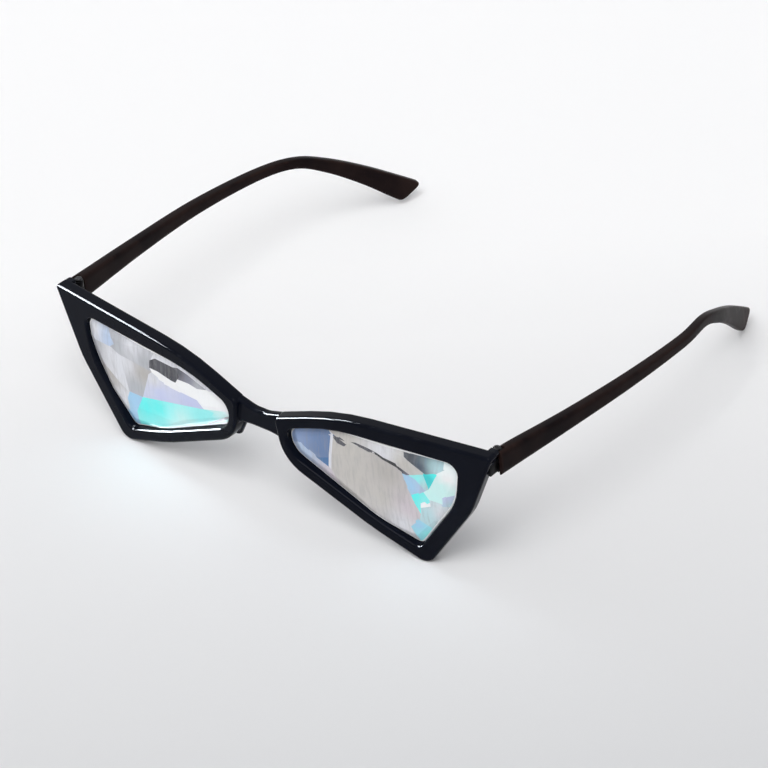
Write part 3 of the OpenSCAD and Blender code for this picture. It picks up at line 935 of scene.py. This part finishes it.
def handling_marks():
    """Smudges, hairline scratches and rubbed edges."""
    known = bpy.data.node_groups.get("Handling marks")
    if known:
        return known
    tree, given, put = group(
        "Handling marks",
        [("Vector", "NodeSocketVector", None), ("Size", "NodeSocketFloat", 90.0),
         ("Edge", "NodeSocketFloat", 0.0)],
        [("Smudge", "NodeSocketFloat"), ("Scratch", "NodeSocketFloat"), ("Rub", "NodeSocketFloat")])
    where, size, edge = (given.outputs[key] for key in ("Vector", "Size", "Edge"))
    smear = noise(tree, where, size, 4.0, Roughness=0.55, Distortion=1.2)["Fac"]
    bend = noise(tree, where, maths(tree, "MULTIPLY", size, 2.0), 1.0)["Color"]
    push = node(tree, "ShaderNodeVectorMath", {0: bend, "Scale": 0.004}, operation="SCALE").outputs[0]
    bent = node(tree, "ShaderNodeVectorMath", {0: where, 1: bend, 2: push}, operation="MULTIPLY_ADD").outputs[0]
    cracks = node(
        tree, "ShaderNodeTexVoronoi", {"Vector": bent, "Scale": maths(tree, "MULTIPLY", size, 1.6)},
        feature="DISTANCE_TO_EDGE").outputs["Distance"]
    some = noise(tree, where, maths(tree, "MULTIPLY", size, 1.3), 2.0)["Fac"]
    line = spread(tree, cracks, 0.004, 0.012, 1.0, 0.0)
    fill(tree, put, {
        "Smudge": spread(tree, smear, 0.48, 0.74),
        "Scratch": maths(tree, "MULTIPLY", line, spread(tree, some, 0.56, 0.64)),
        "Rub": maths(tree, "MULTIPLY", edge, spread(tree, smear, 0.38, 0.62)),
    })
    return tree


def new_material(name, size):
    """A material, its tree and shader, the piece's own coordinates, and handling marks of a size."""
    made = bpy.data.materials.new(name)
    made.use_nodes = True
    tree = made.node_tree
    own = tree.nodes.new("ShaderNodeTexCoord").outputs["Object"]
    wear = node(tree, "ShaderNodeAttribute", attribute_name="wear").outputs["Fac"]
    inputs = {"Vector": own, "Size": size, "Edge": wear}
    marks = node(tree, "ShaderNodeGroup", inputs, node_tree=handling_marks())
    return made, tree, tree.nodes["Principled BSDF"], own, marks.outputs


def skin_of(tree, own, grain, drift):
    """The outputs of a moulded skin placed in a material."""
    inputs = {"Vector": own, "Grain": grain, "Drift": drift}
    return node(tree, "ShaderNodeGroup", inputs, node_tree=moulded_skin()).outputs


def polished_plastic(look):
    """Black plastic with a navy cast, tumbled to a gloss."""
    made, tree, shader, own, marks = new_material("polished_plastic", 120.0)
    skin = skin_of(tree, own, 1500.0, 70.0)
    dull = total(tree, (skin["Tone"], 0.30), (marks["Rub"], 0.45), (marks["Scratch"], 0.4))
    smudged = spread(tree, marks["Smudge"], 0, 1, look.polish, look.polish + 0.10)
    fill(tree, shader, {
        "Base Color": blend(tree, dull, look.plastic, look.scuffed),
        "Roughness": maths(tree, "ADD", smudged, maths(tree, "MULTIPLY", marks["Scratch"], 0.2)),
        "Normal": raised(tree, skin["Height"], 0.07, 0.00006),
        "Specular IOR Level": 0.05,
    })
    return made


def satin_plastic(look):
    """Warm black plastic with a satin surface, and a painted sheen that makes it paler towards the ear tip."""
    made, tree, shader, own, marks = new_material("satin_plastic", 150.0)
    skin = skin_of(tree, own, 2600.0, 90.0)
    rubbed_and_tip_sheen = total(tree, (skin["Tone"], 0.22), (marks["Rub"], 0.4), (marks["Scratch"], 0.35))
    along = node(tree, "ShaderNodeSeparateXYZ", {"Vector": own}).outputs["Y"]
    # Painted sheen: the temple is painted paler towards the ear tip, where it catches light
    rubbed_and_tip_sheen = maths(tree, "ADD", rubbed_and_tip_sheen, spread(tree, along, 0.055, 0.068, 0, 0.25))
    fill(tree, shader, {
        "Base Color": blend(tree, rubbed_and_tip_sheen, look.plastic, look.rubbed_and_tip_sheen),
        "Roughness": spread(tree, marks["Smudge"], 0, 1, look.satin, look.satin - 0.08),
        "Normal": raised(tree, skin["Height"], 0.35, 0.00008),
        "Specular IOR Level": 0.03,
    })
    return made


def cut_crystal(look):
    """Crystal whose facets carry painted reflections and highlights, laid on them as colours."""
    made, tree, shader, own, marks = new_material("cut_crystal", 140.0)
    colour_and_reflection = node(tree, "ShaderNodeAttribute", attribute_name="colour_and_reflection").outputs
    # Painted streaks and clouds in the painted reflections, which grey them in places
    drawn = {"Vector": own, "Rotation": (0, math.radians(-24), 0), "Scale": (1100, 60, 150)}
    stretch = node(tree, "ShaderNodeMapping", drawn).outputs["Vector"]
    streak = noise(tree, stretch, 1.0, 3.0, Roughness=0.65)["Fac"]
    cloud = noise(tree, own, 260.0, 3.0, Roughness=0.6, Distortion=0.8)["Fac"]
    reflection_streaks = maths(
        tree, "ADD", spread(tree, streak, 0.46, 0.66, 0, 0.26), spread(tree, cloud, 0.5, 0.78, 0, 0.12))
    reflection_streaks = maths(tree, "MULTIPLY", reflection_streaks, colour_and_reflection["Alpha"])
    fill(tree, shader, {
        "Base Color": blend(tree, reflection_streaks, colour_and_reflection["Color"], (0.3, 0.29, 0.3)),
        "Roughness": spread(tree, marks["Smudge"], 0, 1, 0.04, 0.12),
        "Normal": raised(tree, cloud, 0.08, 0.00008),
        "Transmission Weight": look.clarity,
        "IOR": 1.52,
    })
    return made


def hinge_metal(look):
    """Blackened steel, rubbed bright along its edges."""
    made, tree, shader, own, marks = new_material("blackened_steel", 700.0)
    skin = skin_of(tree, own, 4000.0, 500.0)
    bright = total(tree, (marks["Rub"], 0.15), (skin["Tone"], 0.08))
    fill(tree, shader, {
        "Base Color": blend(tree, bright, look.metal, look.screw),
        "Roughness": spread(tree, skin["Tone"], 0, 1, 0.3, 0.45),
        "Normal": raised(tree, skin["Height"], 0.2, 0.00004),
        "Metallic": 0.7,
        "Specular IOR Level": 0.15,
    })
    return made


def screw_metal(look):
    """Turned steel, tarnished in patches."""
    made, tree, shader, own, marks = new_material("turned_steel", 900.0)
    skin = skin_of(tree, own, 5000.0, 600.0)
    tarnish = maths(tree, "MULTIPLY", marks["Smudge"], 0.5)
    fill(tree, shader, {
        "Base Color": blend(tree, tarnish, look.screw, look.metal),
        "Roughness": spread(tree, skin["Tone"], 0, 1, 0.2, 0.36),
        "Normal": raised(tree, skin["Height"], 0.15, 0.00004),
        "Metallic": 1.0,
    })
    return made


# ---------------------------------------------------------------- stage

# The way over the floor from the camera, and the painted light, a glow, that the floor adds to its colour far along
# it
AWAY = (-0.659, 0.752, 0)
FAR_GLOW = (0.09, 0.09, 0.09)
GLINT_COLOUR = (0.86, 0.93, 1)
# Lamps that show in the rims' edges, as glint takes them: left, spot, outward, lean, distance, size
# and brightness
GLINTS = {
    "glint_outer_brow": (True, (70, 5.6), (-0.048, 0.999), 58, 1.1, (0.13, 0.4), 260),
    "glint_inner_brow": (False, (17, 0.3), (-0.3, 0.954), 45, 1.0, (0.3, 0.4), 360),
    "glint_sill": (True, (30, -22.6), (0.41, 0.91), 45, 1.0, (0.2, 0.35), 420),
}


def lamp(name, target, towards, along, distance, size, power):
    """A rectangular lamp that faces a point, its length laid along a direction."""
    light = bpy.data.lights.new(name, "AREA")
    light.shape = "RECTANGLE"
    light.size, light.size_y = size
    light.energy = power
    back = towards.normalized()
    up = (along - back * along.dot(back)).normalized()
    turn = Matrix((up.cross(back), up, back)).transposed().to_4x4()
    lit = bpy.data.objects.new(name, light)
    lit.matrix_world = Matrix.Translation(target + back * distance) @ turn
    bpy.context.scene.collection.objects.link(lit)
    return lit


def glint(name, left, spot, outward, lean, distance, size, brightness):
    """A lamp that shows in a rim's rounded edge and lights nothing else.

    It stands where the camera sees it mirrored at a spot of the rim's face outline, in the part of
    the rounding that leans from the face by an angle, towards the side that outward points to.
    """
    side = TO_LEFT if left else Matrix.Identity(4)
    point = side @ PLACE @ RIM_TURN @ Vector((spot[0], 0, spot[1]))
    face = (side @ RIM_TURN).to_3x3() @ Vector((0, -1, 0))
    wall = (side @ RIM_TURN).to_3x3() @ Vector((outward[0], 0, outward[1])).normalized()
    level_share, wall_share = math.cos(math.radians(lean)), math.sin(math.radians(lean))
    normal = face * level_share + wall * wall_share
    across = wall * level_share - face * wall_share
    view = (CAMERA - point).normalized()
    towards = 2 * view.dot(normal) * normal - view
    along = view.dot(across) * normal + view.dot(normal) * across
    lit = lamp(name, point, towards, along, distance, size, brightness * math.pi * size[0] * size[1])
    lit.data.color = GLINT_COLOUR
    lit.visible_diffuse = False


def seen(tree):
    """1 for rays of the camera, of reflections and through the crystal, and 0 for others."""
    path = tree.nodes.new("ShaderNodeLightPath")
    most = maths(tree, "MAXIMUM", path.outputs["Is Camera Ray"], path.outputs["Is Glossy Ray"])
    return maths(tree, "MAXIMUM", most, path.outputs["Is Transmission Ray"])


class CATEYE_OT_stage(bpy.types.Operator):
    """Set up the floor, the lamps, the surroundings and the camera"""

    bl_idname = "cateye.stage"
    bl_label = "Stage"

    def execute(self, context):
        look = context.scene.cateye_stage
        scene = context.scene
        bm = bmesh.new()
        bmesh.ops.create_circle(bm, cap_ends=True, segments=96, radius=2.5)
        floor = mesh_piece("floor", bm, 30)
        made = bpy.data.materials.new("pale_floor")
        made.use_nodes = True
        tree = made.node_tree
        own = tree.nodes.new("ShaderNodeTexCoord").outputs["Object"]
        away = node(tree, "ShaderNodeVectorMath", {0: own, 1: AWAY}, operation="DOT_PRODUCT").outputs["Value"]
        # Painted shade and light: the floor is painted darker in front of the glasses and glows far behind them
        fill(tree, tree.nodes["Principled BSDF"], {
            "Base Color": blend(tree, spread(tree, away, -0.22, 0.06), look.floor_near, look.floor),
            "Emission Color": blend(tree, spread(tree, away, -0.05, 0.2), (0, 0, 0), FAR_GLOW),
            "Emission Strength": seen(tree),
            "Roughness": 0.95,
            "Specular IOR Level": 0,
        })
        floor.data.materials.append(made)

        lamp(
            "lamp_key", target=Vector((0, 0, 0.02)), towards=Vector((0.25, -0.5, 0.83)),
            along=Vector((0, 0, 1)), distance=2.6, size=(1.6, 1.6), power=44)
        for name, settings in GLINTS.items():
            glint(name, *settings)

        world = bpy.data.worlds.new("pale_surroundings")
        scene.world = world
        world.use_nodes = True
        tree = world.node_tree
        fill(tree, tree.nodes["Background"], {
            "Color": (*look.floor, 1),
            "Strength": spread(tree, seen(tree), 0, 1, look.ambient, 1.0),
        })

        camera = bpy.data.objects.new("camera", bpy.data.cameras.new("camera"))
        camera.data.lens = look.lens
        camera.data.sensor_width = 36
        right = Vector((0.7811653, 0.6205791, -0.0682817))
        up = Vector((-0.3141921, 0.4852745, 0.8159608))
        forward = Vector((-0.5395036, 0.6159466, -0.5740606))
        pose = Matrix((right, up, -forward)).transposed().to_4x4()
        camera.matrix_world = Matrix.Translation(CAMERA) @ pose
        scene.collection.objects.link(camera)
        scene.camera = camera
        scene.view_settings.view_transform = "Standard"
        return {"FINISHED"}


# ---------------------------------------------------------------- add-on

OPERATORS = (CATEYE_OT_front, CATEYE_OT_lenses, CATEYE_OT_temples, CATEYE_OT_hinges, CATEYE_OT_stage)
GROUPS = {
    "cateye_front": CATEYE_PG_front, "cateye_lenses": CATEYE_PG_lenses, "cateye_temples": CATEYE_PG_temples,
    "cateye_hinges": CATEYE_PG_hinges, "cateye_stage": CATEYE_PG_stage,
}


class CATEYE_PT_panel(bpy.types.Panel):
    """The steps that build the glasses, with their sizes and colours"""

    bl_idname = "CATEYE_PT_panel"
    bl_label = "Cat Eye Eyeglasses"
    bl_space_type = "VIEW_3D"
    bl_region_type = "UI"
    bl_category = "Eyeglasses"

    def draw(self, context):
        for (name, group_class), operator in zip(GROUPS.items(), OPERATORS):
            box = self.layout.box()
            box.operator(operator.bl_idname)
            for prop in group_class.__annotations__:
                box.prop(getattr(context.scene, name), prop)


def register():
    for cls in (*GROUPS.values(), *OPERATORS, CATEYE_PT_panel):
        bpy.utils.register_class(cls)
    for name, group_class in GROUPS.items():
        setattr(bpy.types.Scene, name, bpy.props.PointerProperty(type=group_class))


def unregister():
    for name in GROUPS:
        delattr(bpy.types.Scene, name)
    for cls in reversed((*GROUPS.values(), *OPERATORS, CATEYE_PT_panel)):
        bpy.utils.unregister_class(cls)


def main():
    register()
    bpy.ops.cateye.front()
    bpy.ops.cateye.lenses()
    bpy.ops.cateye.temples()
    bpy.ops.cateye.hinges()
    bpy.ops.cateye.stage()


if __name__ == "__main__":
    main()
